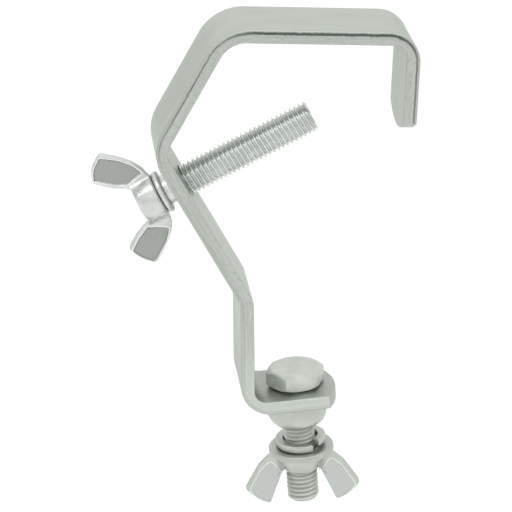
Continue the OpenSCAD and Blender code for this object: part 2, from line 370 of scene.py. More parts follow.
def bar_mesh():
    outer, inner, lip_end = bar_faces()
    verts, faces = [], []
    count = None

    def add_ring(points):
        nonlocal count
        start = len(verts)
        verts.extend(points)
        if count:
            for j in range(count):
                a, b = start - count + j, start - count + (j + 1) % count
                faces.append((a, b, b + count, a + count))
        count = len(points)

    def ring(out_point, in_point, inset, score, s, shift=None):
        def wobble(sign, d):
            return -SIDE_DRAWN_IN + SIDE_WOBBLE * noise.noise(Vector((s * 0.45, d * 1.2, 7.0 * sign)))
        made = []
        for y, d in bar_section(inset, score, wobble):
            p = out_point + (in_point - out_point) * (d / BAR_T)
            if shift is not None:
                p = p + shift(y)
            made.append((p[0], y, p[1]))
        return made

    def rounded_end(back, share, shift=0.0):
        """How a rounded end draws points back at each y, in full at its tip and less towards the bend."""
        return lambda y: back * (END_R - math.sqrt(END_R ** 2 - (y + shift) ** 2)) * share

    def end_rings(out_start, in_start, direction, tip, first):
        """Rings of the foot's or the lip's end run. tip is the outer face's farthest point."""
        length = float((tip - out_start) @ ahead(direction))
        marks = [length - x for x in (0.0, 0.06, 0.16, 0.3, END_ROUND)]
        plain = int((length - END_ROUND) / RUN_STEP)
        marks += [(length - END_ROUND) * k / plain for k in range(plain - 1, 0, -1)]
        in_tip = in_start + ahead(direction) * float((tip - in_start) @ ahead(direction))
        out = []
        for m in marks:
            near = max(0.0, END_ROUND - (length - m))
            inset = END_ROUND - math.sqrt(max(0.0, END_ROUND ** 2 - near ** 2))
            t = m / length
            out_point = out_start + (tip - out_start) * t
            in_point = in_start + (in_tip - in_start) * t
            out.append((out_point, in_point, inset, t, m))
        return out if first else out[::-1]

    foot_tip = np.array([FOOT_TIP, 0.0])
    foot_back = ahead(FOOT_DIR)
    for o, i, inset, t, m in end_rings(outer[0], inner[0], FOOT_DIR + 180, foot_tip, True):
        add_ring(ring(o, i, inset, SCORE_FAINT, FOOT_TIP - m, rounded_end(foot_back, t, FOOT_SHIFT)))
    marks = np.cumsum([0.0] + [float(np.linalg.norm(b - a)) for a, b in zip(outer, outer[1:])])
    whole = marks[-1]
    for k, (o, i) in enumerate(zip(outer, inner)):
        s = FOOT_TIP + marks[k]
        upper = min(1.0, max(0.0, (marks[k] - SCORE_FROM * whole) / (SCORE_GROWS * whole)))
        ragged = 0.75 + 0.5 * noise.noise(Vector((s * 0.3, 0.0, 3.0)))
        add_ring(ring(o, i, 0.0, (SCORE_FAINT + SCORE_DEEP * upper) * ragged, s))
    lip_back = -ahead(RUNS[-1][0])
    for o, i, inset, t, m in end_rings(outer[-1], inner[-1], RUNS[-1][0], lip_end, False):
        add_ring(ring(o, i, inset, SCORE_DEEP, s + m, rounded_end(lip_back, t)))

    # Both ends are closed by faces between the outer and the inner rows
    half = count // 2
    for start in (0, len(verts) - count):
        for j in range(WIDE_STEPS):
            a, b = start + j, start + j + 1
            c, d = start + half + WIDE_STEPS - j - 1, start + half + WIDE_STEPS - j
            faces.append((a, b, c, d))
        near, far = start + WIDE_STEPS, start + half + WIDE_STEPS
        faces.append([near + j for j in range(half - WIDE_STEPS)] + [start + half])
        faces.append([far + j for j in range(half - WIDE_STEPS)] + [start])
    return verts, faces, np.array(outer)


def mark_bar(mesh, outer):
    """Writes each point's place on the bar: how far along, how far across and how deep, in millimetres.
    The bend after the foot starts 40 mm along."""
    past_ends = 40
    tail = outer[0] + ahead(FOOT_DIR + 180) * past_ends
    head = outer[-1] + ahead(RUNS[-1][0]) * past_ends
    line = np.vstack([tail, outer, head])
    lengths = np.linalg.norm(np.diff(line, axis=0), axis=1)
    marks = np.concatenate([[0.0], np.cumsum(lengths)])
    co = np.zeros(len(mesh.vertices) * 3)
    mesh.vertices.foreach_get("co", co)
    co = co.reshape(-1, 3) / MM
    p = co[:, [0, 2]]
    best = np.full(len(p), 1e9)
    along = np.zeros(len(p))
    for k in range(len(line) - 1):
        d = (line[k + 1] - line[k]) / lengths[k]
        t = np.clip((p - line[k]) @ d, 0, lengths[k])
        dist = np.linalg.norm(p - line[k] - t[:, None] * d, axis=1)
        near = dist < best
        best[near] = dist[near]
        along[near] = marks[k] + t[near]
    values = np.stack([along, co[:, 1], best], axis=1).astype(np.float32)
    attribute = mesh.attributes.new("bar_place", "FLOAT_VECTOR", "POINT")
    attribute.data.foreach_set("vector", values.ravel())


def make_strap(material):
    verts, faces, outer = bar_mesh()
    strap = scratch("strap", verts, faces)
    hole = [(TAPPED_R, -1.0), (TAPPED_R, 3.9), (TAPPED_SINK_R, 5.1)]
    tapped = scratch("tapped", *lathe(even_angles(96), hole),
                     place=axis_matrix(SCREW_AT, SCREW_DIR, ALONG_PIPE))
    burr, past = 0.25, 1.5
    flare = HOLE_R + burr + past
    foot_hole = [(flare, -past), (HOLE_R, burr), (HOLE_R, BAR_T - burr), (flare, BAR_T + past)]
    foot = scratch("foot", *lathe(even_angles(96), foot_hole))
    cut(strap, tapped, foot)
    mark_bar(strap.data, outer)
    tidy_mesh(strap.data, STRAP_SHARP)
    strap.data.materials.clear()
    strap.data.materials.append(material)
    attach(strap, "hook")
    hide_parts("hook_strap")
    return strap


# ------------------------ hexagons


def hex_radius(flats, turn, corner):
    """Distance from the axis to a hexagon's wall at each angle, with corners rounded to a small radius."""
    corner_r = flats / math.sqrt(3)
    centre = corner_r - corner / math.sin(math.radians(60))
    tangent = math.atan2(corner * math.sin(math.radians(30)), centre + corner * math.cos(math.radians(30)))

    def radius(a):
        from_corner = (a - turn + math.pi / 6) % (math.pi / 3) - math.pi / 6
        if abs(from_corner) < tangent:
            return centre * math.cos(from_corner) + math.sqrt(
                max(0.0, corner ** 2 - (centre * math.sin(from_corner)) ** 2))
        return flats / 2 / math.cos(math.pi / 6 - abs(from_corner))

    return radius


def hex_angles(turn):
    """Angles round a hexagon, close together at its corners."""
    half = [0.0, 0.5, 1.0, 1.6, 2.6, 4.5, 8.0, 12.5, 17.5, 22.5, 26.5]
    degrees = []
    for side in range(6):
        degrees += [60 * side + d for d in half + [30] + [60 - d for d in half[:0:-1]]]
    return [turn + math.radians(d) for d in degrees]


def make_bolt(material):
    low, high, _ = span("fixing_bolt", Vector((0, 0, 0)), Vector((0, 0, 1)))
    turn = math.radians(HEX_TURN)
    wall = hex_radius(HEAD_FLATS, turn, 0.55)
    angles = hex_angles(turn)
    flat_r = 7.6                                # the top is flat to this radius, and then chamfered
    slope = math.tan(math.radians(30))
    base = BAR_T + 0.7                          # the hexagon starts above its round bearing face

    def edge_height(a):
        return high - (wall(a) - flat_r) * slope

    def chamfer(share):
        def ring(a):
            r = wall(a) + (flat_r - wall(a)) * share
            return r, edge_height(a) + (high - edge_height(a)) * share
        return ring

    def under(r, up):
        """A ring of the hexagon's underside, whose corners are rounded off at radius r."""
        return lambda a: (min(wall(a), r), base + up)

    face_r = HEAD_FLATS * 0.44
    rings = [(0.5, BAR_T), (face_r - 0.2, BAR_T), (face_r, BAR_T + 0.2), (face_r, base - 0.02),
             under(8.4, 0.0), under(8.55, 0.05), under(8.75, 0.2), under(9.05, 0.45), under(9.5, 0.8),
             lambda a: (wall(a), edge_height(a) - 0.12),
             chamfer(0.02), chamfer(0.10), chamfer(0.35), chamfer(0.65), chamfer(0.88),
             (flat_r - 0.15, high - 0.005), (flat_r - 0.6, high - 0.03), (6.6, high - 0.10),
             (5.0, high - 0.13), (3.0, high - 0.14), (1.0, high - 0.14)]
    head = lathe(angles, rings)
    rod = thread_rod(low, BAR_T + 1.0, tip_chamfer=0.0, low_chamfer=0.85)
    return add_piece("fixing_bolt_plated", *join_parts(head, rod), "hook", ["fixing_bolt"], "bolt_plate",
                     material)


def make_lock_nut(material):
    low, high, _ = span("lock_nut", Vector((0, 0, 0)), Vector((0, 0, 1)))
    turn = math.radians(HEX_TURN)
    wall = hex_radius(FLATS - 0.04, turn, 0.6)
    end_r = 6.0                                 # the lower end is flat to this radius
    crown_r = FLATS / math.sqrt(3) + 0.15       # and rounded from there, a little past the corners
    crown_h, crown_tilt = 6.5, 0.6
    bore = THREAD_R - 0.6

    def crown(r):
        """Height of the nut's rounded lower end at radius r."""
        share = min(1.0, max(0.0, (r - end_r) / (crown_r - end_r)))
        return low + crown_h * (1 - math.sqrt(1 - share ** 2)) + crown_tilt * share

    def rounded(share):
        return lambda a: (wall(a) + (end_r - wall(a)) * share, crown(wall(a) + (end_r - wall(a)) * share))

    rings = [(bore, high), (8.6, high), lambda a: (wall(a) - 0.1, high - 0.03),
             lambda a: (wall(a), high - 0.25)]
    rings += [rounded(s) for s in (0.0, 0.06, 0.15, 0.27, 0.40, 0.54, 0.68, 0.82, 0.93, 1.0)]
    rings += [(5.5, low + 0.05), (5.1, low + 0.35), (bore, low + 0.75)]
    return add_piece("lock_nut_plated", *lathe(hex_angles(turn), rings, closed=True), "hook", ["lock_nut"],
                     "bolt_plate", material)


# ------------------------ washers and the collar


def make_flat_washer(material):
    low, high, r = span("flat_washer", Vector((0, 0, 0)), Vector((0, 0, 1)))
    r -= WASHER_OFF + 0.01
    bore = WASHER_BORE_R
    # The punched upper edge is well rounded, and the lower one is nearly sharp
    rings = [(bore, low + 0.15), (bore, high - 0.35), (bore + 0.12, high - 0.1), (bore + 0.4, high),
             (7.0, high), (8.6, high), (r - 0.75, high - 0.01), (r - 0.40, high - 0.08),
             (r - 0.16, high - 0.26), (r - 0.03, high - 0.55), (r, high - 0.85), (r, low + 0.25),
             (r - 0.05, low + 0.08), (r - 0.2, low), (8.0, low), (bore + 0.15, low)]
    return add_piece("flat_washer_plated", *lathe(even_angles(128), rings, closed=True), "washers",
                     ["flat_washer"], "washer_plate", material, place=WASHER_SHIFT)


def make_spring_washer(material):
    low, _, _ = span("spring_washer", Vector((0, 0, 0)), Vector((0, 0, 1)))
    edge = 0.32                                 # rounding of the wire's edges
    r_in, r_out = WASHER_BORE_R, SPRING_R - WASHER_OFF
    section = []
    for cr, cz, first in ((r_in + edge, edge, 180), (r_out - edge, edge, 270),
                          (r_out - edge, SPRING_H - edge, 0), (r_in + edge, SPRING_H - edge, 90)):
        for k in range(5):
            a = math.radians(first + 90 * k / 4)
            section.append((cr + edge * math.cos(a), cz + edge * math.sin(a)))
    steps = 150
    n = len(section)
    centre = (sum(p[0] for p in section) / n, sum(p[1] for p in section) / n)
    verts, faces = [], []
    # Share of the turn, and size of the section there: it shrinks at both cut ends
    ends = [(0.0, 0.82), (0.0015, 0.95)]
    marks = ends + [(0.006 + 0.988 * i / steps, 1.0) for i in range(steps + 1)]
    marks += [(1 - t, keep) for t, keep in ends[::-1]]
    for t, keep in marks:
        for r, z in section:
            r = centre[0] + (r - centre[0]) * keep
            z = centre[1] + (z - centre[1]) * keep
            torn = 0.0
            if keep < 1:
                torn = abs(0.008 * noise.noise(Vector((r * 2.3, z * 2.3, 5.0 * t))))
            share = min(1.0, max(0.0, t + (torn if t < 0.5 else -torn)))
            a = math.radians(SPRING_START - SPRING_TURN * share)
            verts.append((r * math.cos(a), r * math.sin(a), low + z + SPRING_RISE * t))
    for i in range(len(marks) - 1):
        for j in range(n):
            a, b = i * n + j, i * n + (j + 1) % n
            faces.append((a, b, b + n, a + n))
    faces.append(tuple(range(n)))
    faces.append(tuple(range((len(marks) - 1) * n, len(marks) * n)))
    return add_piece("spring_washer_plated", verts, faces, "washers", ["spring_washer"], "washer_plate",
                     material, place=WASHER_SHIFT)


def make_collar(material):
    low, high, r = span("screw_collar", SCREW_AT, SCREW_DIR)
    mid = (low + high) / 2
    half = (high - low) / 2
    bulge = [(r - half + half * math.cos(math.radians(a)), mid + half * math.sin(math.radians(a)))
             for a in range(-80, 81, 16)]
    bore, bevel, face_r = NECK_R + 0.06, 0.2, 5.4
    rings = [(bore, low + bevel), (bore + bevel, low), (face_r, low)] + bulge
    rings += [(face_r, high), (bore + bevel, high), (bore, high - bevel)]
    return add_piece("screw_collar_plated", *lathe(even_angles(112), rings, closed=True), "collar",
                     ["screw_collar"], "washer_plate", material,
                     place=axis_matrix(SCREW_AT, SCREW_DIR, ALONG_PIPE))


# ------------------------ the clamp screw and the wings


def make_screw(material):
    low, high, _ = span("clamp_screw", SCREW_AT, SCREW_DIR)
    rod = thread_rod(low, high, tip_chamfer=0.45, neck=(NECK_R, NECK_END - low))
    return add_piece("clamp_screw_plated", *rod, "screw", ["clamp_screw"], "screw_plate", material,
                     place=axis_matrix(SCREW_AT, SCREW_DIR, ALONG_PIPE))


def round_corners(points, radii, steps=6):
    """An outline with each corner turned into an arc of its own radius."""
    made = []
    n = len(points)
    for k, (p, r) in enumerate(zip(points, radii)):
        before, after = Vector(points[k - 1]) - Vector(p), Vector(points[(k + 1) % n]) - Vector(p)
        room = min(before.length, after.length) * 0.48
        angle = before.angle(after)
        if r <= 0 or angle > math.radians(177):
            made.append(Vector(p))
            continue
        back = min(room, r / math.tan(angle / 2))
        start = Vector(p) + before.normalized() * back
        end = Vector(p) + after.normalized() * back
        for i in range(steps + 1):
            t = i / steps
            made.append((1 - t) ** 2 * start + 2 * t * (1 - t) * Vector(p) + t ** 2 * end)
    return made


def polar(r, a):
    return (r * math.cos(math.radians(a)), r * math.sin(math.radians(a)))


def wing_slab(outline, pocket, thick, pocket_deep, pocket_slope):
    """One wing as a slab with a sunk panel on both faces. The panel's floor is drawn in by pocket_slope."""
    n, m = len(outline), len(pocket)
    middle = sum(pocket, Vector((0, 0))) / m
    floor = [middle + (p - middle) * (1 - pocket_slope / (p - middle).length) for p in pocket]
    flat = [Vector((p[0], p[1], 0)) for p in outline]
    hole = [Vector((p[0], p[1], 0)) for p in pocket]
    rim = tessellate_polygon([flat, hole])
    verts, faces = [], []
    for side in (1, -1):
        start = len(verts)
        y = side * thick / 2
        verts += [(p[0], y, p[1]) for p in outline]
        verts += [(p[0], y, p[1]) for p in pocket]
        verts += [(p[0], y - side * pocket_deep, p[1]) for p in floor]
        faces += [tuple(start + i for i in t) for t in rim]
        for j in range(m):
            a, b = start + n + j, start + n + (j + 1) % m
            faces.append((a, b, b + m, a + m))
        faces.append(tuple(start + n + m + j for j in range(m)))
    whole = n + 2 * m
    for j in range(n):
        faces.append((j, (j + 1) % n, whole + (j + 1) % n, whole + j))
    return verts, faces


def wing_root(x_from, x_to, half_from, half_to, low, high):
    """The thick root of a wing, between the hub and the panel: a loft of rectangles. It thins from
    half_from to half_to on each side, between the heights low(x) and high(x)."""
    steps = 10
    verts, faces = [], []
    for k in range(steps + 1):
        t = k / steps
        x = x_from + (x_to - x_from) * t
        half = half_to + (half_from - half_to) * (1 - t) ** 2
        z0, z1 = low(x), high(x)
        verts += [(x, -half, z0), (x, half, z0), (x, half, z1), (x, -half, z1)]
    for k in range(steps):
        for j in range(4):
            a, b = 4 * k + j, 4 * k + (j + 1) % 4
            faces.append((a, b, b + 4, a + 4))
    faces.append((0, 1, 2, 3))
    faces.append(tuple(range(4 * steps, 4 * steps + 4)))
    return verts, faces


def mirrored(part):
    verts, faces = part
    return [(-x, y, z) for x, y, z in verts], faces


def melt(name, parts, place):
    """Joins closed shapes into one skin and softens its edges, as pressing and plating do. The shapes are
    in the part's own frame, and place puts the skin into the shared one."""
    piece = scratch(name, *join_parts(*parts))
    remesh = piece.modifiers.new("remesh", "REMESH")
    remesh.mode = "VOXEL"
    remesh.voxel_size = VOXEL * MM
    smooth = piece.modifiers.new("smooth", "SMOOTH")
    smooth.factor = 0.5
    smooth.iterations = SOFTEN[name]
    bpy.context.view_layer.update()
    apply_modifiers(piece)
    piece.data.transform(Matrix.Scale(1 / MM, 4))
    piece.data.transform(Matrix.Scale(MM, 4) @ place)
    piece.data.polygons.foreach_set("use_smooth", [True] * len(piece.data.polygons))
    return piece


def depth_in(outline, points):
    """How far each point lies inside an outline, in millimetres; it is negative outside."""
    nearest = np.full(len(points), 1e9)
    inside = np.zeros(len(points), bool)
    for a, b in zip(outline, np.roll(outline, -1, axis=0)):
        run = b - a
        t = np.clip((points - a) @ run / max(1e-9, run @ run), 0, 1)
        nearest = np.minimum(nearest, np.linalg.norm(points - a - t[:, None] * run, axis=1))
        if a[1] != b[1]:
            crosses = (a[1] > points[:, 1]) != (b[1] > points[:, 1])
            inside ^= crosses & (points[:, 0] < a[0] + run[0] * (points[:, 1] - a[1]) / run[1])
    return np.where(inside, nearest, -nearest)


def mark_panels(piece, place, panels):
    """Writes how far inside a wing's sunk panel each point lies. panels are the outlines on -X and +X."""
    back = place.inverted()
    points = np.array([back @ (v.co / MM) for v in piece.data.vertices])
    flat = np.stack([np.abs(points[:, 0]), points[:, 2]], axis=1)
    low, high = (depth_in(np.array([(p[0], p[1]) for p in panel]), flat) for panel in panels)
    values = np.where(points[:, 0] > 0, high, low).astype(np.float32)
    piece.data.attributes.new("panel", "FLOAT", "POINT").data.foreach_set("value", values)


def rounded_outline(points):
    """An outline from (x, z, corner radius) points."""
    return round_corners([(x, z) for x, z, _ in points], [r for _, _, r in points])


def finish_wing(piece, material, body, node):
    piece.data.materials.append(material)
    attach(piece, body)
    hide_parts(node)
    return piece


# The two wings of the clamp screw, which aren't quite alike: outline and sunk panel as (distance from the
# axis, height above the base, corner radius), and where the thick root ends
UPPER_WING = (
    [(5.2, 0.35, 0), (6.8, 0.25, 2), (9.7, 0.95, 4), (13.1, 2.8, 6), (16.5, 6.0, 12), (20.0, 10.2, 1.2),
     (17.0, 14.6, 14), (12.85, 16.35, 1.2), (8.25, 11.2, 5), (6.7, 8.3, 3), (5.2, 7.0, 0)],
    [(8.6, 1.7, 0.6), (12.1, 3.15, 4), (15.75, 6.25, 8), (19.0, 10.8, 0.6), (16.4, 14.25, 10),
     (13.3, 15.6, 0.6), (8.7, 10.2, 3), (7.6, 7.2, 1.0)],
    8.0)
LOWER_WING = (
    [(5.2, 0.35, 0), (7.3, 0.35, 2), (9.4, 0.75, 3), (11.6, 1.9, 4), (14.1, 4.2, 6), (16.9, 7.6, 12),
     (19.45, 11.2, 1.2), (16.0, 14.6, 14), (11.3, 16.5, 1.2), (8.7, 12.7, 5), (7.5, 10.3, 3),
     (6.3, 7.3, 1.0), (5.2, 6.6, 0)],
    [(7.5, 8.0, 0.6), (10.95, 2.4, 0.8), (14.25, 5.1, 5), (18.75, 11.3, 0.6), (15.7, 14.15, 10),
     (12.4, 15.75, 0.6), (9.8, 12.4, 5)],
    8.6)


def make_screw_wing(material):
    _, base, _ = span("screw_wing", SCREW_AT, SCREW_DIR)
    place = axis_matrix(SCREW_AT + SCREW_DIR * base, -SCREW_DIR, ALONG_PIPE.cross(SCREW_DIR))
    slabs, roots, panels = [], [], []
    for side, (edge, sunk, root_end) in enumerate((UPPER_WING, LOWER_WING)):
        panel = rounded_outline(sunk)
        slab = wing_slab(rounded_outline(edge), panel, thick=2.6, pocket_deep=0.55, pocket_slope=0.25)
        root = wing_root(5.0, root_end, half_from=4.6, half_to=1.3,
                         low=lambda x: 0.4 + 0.14 * max(0.0, x - 6.8) ** 1.3,
                         high=lambda x: 6.8 + 0.45 * max(0.0, x - 5.6))
        slabs.append(slab if side else mirrored(slab))
        roots.append(root if side else mirrored(root))
        panels.append(panel)
    hub_line = [(2.0, 0.05), (6.2, 0.05), (6.75, 0.3), (6.95, 0.9), (6.9, 2.4), (6.65, 4.2),
                (6.25, 5.9), (5.8, 6.7), (5.0, 7.1), (3.5, 7.25), (2.0, 7.28)]
    hub = lathe(even_angles(72), hub_line)
    wing = melt("screw_wing_plated", [hub] + slabs + roots, place)
    mark_panels(wing, place, panels)
    return finish_wing(wing, material, "screw", "screw_wing")


def make_wing_nut(material):
    _, high, _ = span("wing_nut", Vector((0, 0, 0)), Vector((0, 0, 1)))
    around = Vector((*polar(1, NUT_TURN), 0))
    place = axis_matrix(Vector((0, 0, high)), Vector((0, 0, -1)), around)
    reach = NUT_REACH
    outline = rounded_outline([(5.6, 0.5, 0), (8.1, 0.3, 2), (10.2, 1.1, 4), (13.6, 4.4, 6),
                               (*polar(reach, 33.6), 1.0), (*polar(reach - 0.1, 46.0), 14),
                               (10.6, 17.9, 1.0), (8.6, 12.9, 12), (7.1, 9.2, 6), (6.2, 6.9, 1.2),
                               (5.6, 5.4, 0)])
    pocket = rounded_outline([(9.6, 3.0, 1.0), (12.9, 6.0, 3), (*polar(reach - 0.9, 37.3), 0.8),
                              (*polar(reach - 0.55, 46.0), 10), (10.8, 17.45, 0.8), (8.85, 12.9, 5),
                              (7.6, 9.5, 1.0)])
    slab = wing_slab(outline, pocket, thick=2.2, pocket_deep=0.25, pocket_slope=0.12)
    root = wing_root(5.6, 9.0, half_from=4.4, half_to=1.0,
                     low=lambda x: 0.5 + 0.12 * max(0.0, x - 8.0) ** 1.3,
                     high=lambda x: 5.3 + 1.5 * max(0.0, x - 5.9))
    hub_line = [(5.05, 0.5), (5.5, 0.05), (7.9, 0.05), (8.2, 0.35), (8.15, 1.0), (7.5, 2.3),
                (6.5, 4.2), (5.9, 5.2), (5.75, 5.6), (5.4, 5.7), (5.05, 5.4)]
    hub = lathe(even_angles(96), hub_line, closed=True)
    wing = melt("wing_nut_plated", [hub, slab, mirrored(slab), root, mirrored(root)], place)
    # The pressed panel runs out at the wing's inner edge, so it is marked past that edge
    marked = rounded_outline([(9.6, 3.0, 1.0), (12.9, 6.0, 3), (*polar(reach - 0.9, 37.3), 0.8),
                              (*polar(reach - 0.55, 46.0), 6), (10.2, 18.9, 0.8), (5.6, 13.5, 0.8),
                              (5.2, 8.0, 1.0)])
    mark_panels(wing, place, (marked, marked))
    return finish_wing(wing, material, "wing_nut", "wing_nut")


# ------------------------ materials


RANGE_SOCKETS = ("From Min", "From Max", "To Min", "To Max")


class Nodes:
    """Short names for building a material's nodes."""

    def __init__(self, name):
        self.material = bpy.data.materials.new(name)
        self.material.use_nodes = True
        self.tree = self.material.node_tree
        self.shader = self.tree.nodes["Principled BSDF"]

    def node(self, kind, **settings):
        made = self.tree.nodes.new(kind)
        for key, value in settings.items():
            setattr(made, key, value)
        return made

    def link(self, a, b):
        self.tree.links.new(a, b)

    def math(self, operation, a, b=0.0, c=None):
        made = self.node("ShaderNodeMath", operation=operation)
        for socket, value in zip(made.inputs, (a, b, c)):
            if value is None:
                continue
            if isinstance(value, (int, float)):
                socket.default_value = value
            else:
                self.link(value, socket)
        return made.outputs[0]

    def ramp(self, value, low, high, to_low=0.0, to_high=1.0):
        made = self.node("ShaderNodeMapRange", interpolation_type="SMOOTHSTEP")
        self.link(value, made.inputs["Value"])
        for socket, number in zip(RANGE_SOCKETS, (low, high, to_low, to_high)):
            made.inputs[socket].default_value = number
        return made.outputs[0]

    def noise(self, where, scale, detail=2.0, rough=0.5):
        made = self.node("ShaderNodeTexNoise")
        made.inputs["Scale"].default_value = scale
        made.inputs["Detail"].default_value = detail
        made.inputs["Roughness"].default_value = rough
        self.link(where, made.inputs["Vector"])
        return made.outputs["Fac"]

    def stretched(self, where, factors):
        made = self.node("ShaderNodeVectorMath", operation="MULTIPLY")
        self.link(where, made.inputs[0])
        made.inputs[1].default_value = factors
        return made.outputs[0]

    def mix(self, amount, a, b):
        made = self.node("ShaderNodeMix", data_type="RGBA")
        for socket, value in ((made.inputs[0], amount), (made.inputs[6], a), (made.inputs[7], b)):
            if isinstance(value, tuple):
                socket.default_value = (*value, 1.0)
            elif isinstance(value, (int, float)):
                socket.default_value = value
            else:
                self.link(value, socket)
        return made.outputs[2]

    def bump(self, height, strength, distance_mm, before=None):
        made = self.node("ShaderNodeBump")
        made.inputs["Strength"].default_value = strength
        made.inputs["Distance"].default_value = distance_mm * MM
        self.link(height, made.inputs["Height"])
        if before is not None:
            self.link(before, made.inputs["Normal"])
        return made.outputs[0]


def scaled(colour, factor):
    return tuple(min(1.0, c * factor) for c in colour)


EDGE_TINT = (0.87, 0.88, 0.86, 1.0)     # zinc plate is dull where it is seen edge on


def zinc(name, colour, rough, patchy=0.06, grain=0.25, hollow_shade=0.25, panel=None, metallic=0.82, rim=0.42):
    """Bright zinc plate: slightly patchy, finely grained, and painted darker in its hollows as shade. panel
    is the colour of a wing's sunk panel, and rim is how bright the painted highlight line round it is."""
    grain_mm, hollow_mm = 0.35, 1.6
    n = Nodes(name)
    where = n.node("ShaderNodeTexCoord").outputs["Object"]
    patches = n.noise(where, 160.0, 3.0, 0.55)
    grains = n.noise(where, 1 / (grain_mm * MM), 2.0, 0.6)
    blend = n.ramp(patches, 0.35, 0.68)
    base = n.mix(blend, scaled(colour, 1 - patchy), scaled(colour, 1 + patchy))
    if panel:
        sunk = n.node("ShaderNodeAttribute", attribute_name="panel").outputs["Fac"]
        base = n.mix(n.ramp(sunk, -0.05, 0.12), base, panel)
        # Painted highlight: a bright line just outside the sunk panel's edge, where its step would catch
        # the light
        rim_highlight = n.math("MULTIPLY", n.ramp(sunk, -0.42, -0.25), n.ramp(sunk, -0.06, 0.02, 1.0, 0.0))
        base = n.mix(n.math("MULTIPLY", rim_highlight, rim), base, scaled(colour, 1.75))
    # Painted shade: the base colour is darkened where ambient occlusion finds hollows
    hollow = n.node("ShaderNodeAmbientOcclusion", samples=8)
    hollow.inputs["Distance"].default_value = hollow_mm * MM
    shade = n.ramp(hollow.outputs["AO"], 0.25, 0.85, 1.0, 0.0)
    base = n.mix(n.math("MULTIPLY", shade, hollow_shade), base, scaled(colour, 0.35))
    n.link(base, n.shader.inputs["Base Color"])
    gloss = n.math("MULTIPLY_ADD", patches, 0.16, rough - 0.08)
    n.link(n.math("MULTIPLY_ADD", grains, 0.10, n.math("ADD", gloss, -0.05)), n.shader.inputs["Roughness"])
    n.shader.inputs["Metallic"].default_value = metallic
    n.shader.inputs["Specular Tint"].default_value = EDGE_TINT
    coarse = n.bump(patches, 0.12, 0.3)
    n.link(n.bump(grains, grain, 0.03, coarse), n.shader.inputs["Normal"])
    return n.material


